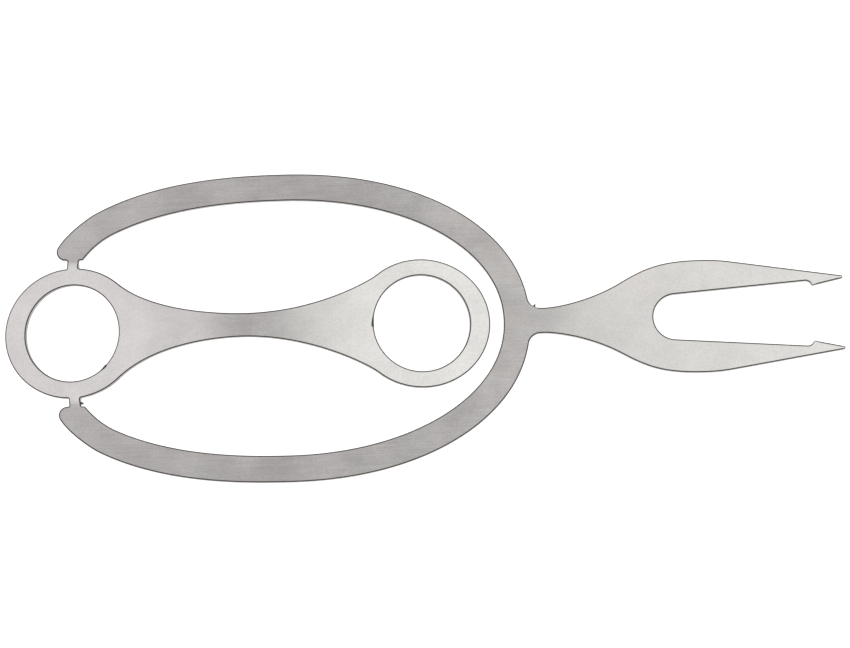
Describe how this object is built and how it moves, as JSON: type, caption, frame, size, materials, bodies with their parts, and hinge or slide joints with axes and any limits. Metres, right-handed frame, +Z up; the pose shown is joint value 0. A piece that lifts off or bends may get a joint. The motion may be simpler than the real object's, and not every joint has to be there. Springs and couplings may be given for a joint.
{
  "type": "divot repair tool",
  "caption": "Flat spring-steel divot repair tool: barbed two-prong fork, oval bow, and a sprung tongue with a ring at each end that clips to a belt or pocket.",
  "frame": {"origin": "middle of the footprint, on the table that the part rests on", "axes": "+X towards the fork tips, +Y to the left of the fork, +Z up; the bow's plane leans down 1 degree towards the tips"},
  "size_m": [0.11, 0.0408, 0.0053],
  "materials": {
    "fork_steel": "satin, as rolled",
    "bow_steel": "matt grey",
    "tongue_steel": "satin, as rolled"
  },
  "bodies": {
    "frame": {"fork": "fork_steel", "neck": "fork_steel", "left_bow_arm": "bow_steel", "right_bow_arm": "bow_steel", "left_hinge_tab": "tongue_steel", "right_hinge_tab": "tongue_steel"},
    "tongue_rear": {"rear_ring": "tongue_steel", "tongue_waist": "tongue_steel"},
    "tongue_front": {"front_ring": "tongue_steel"}
  },
  "joints": [
    {"name": "tongue_pivot", "type": "hinge", "parent": "frame", "child": "tongue_rear", "pos_m": [-0.04577, 0, 0.00218], "axis": [0, -1, 0], "range_deg": [-1.5, 5], "stiffness_Nm_per_rad": 2.96, "deforming": ["left_hinge_tab", "right_hinge_tab"]},
    {"name": "waist_flex", "type": "hinge", "parent": "tongue_rear", "child": "tongue_front", "pos_m": [-0.02342, 0, 0.00481], "axis": [0, -1, 0], "range_deg": [-2.1, 7], "stiffness_Nm_per_rad": 1.02, "deforming": ["tongue_waist"]}
  ],
  "couplings": [
    {"joint": "waist_flex", "follows": "tongue_pivot", "ratio": 1.39}
  ]
}
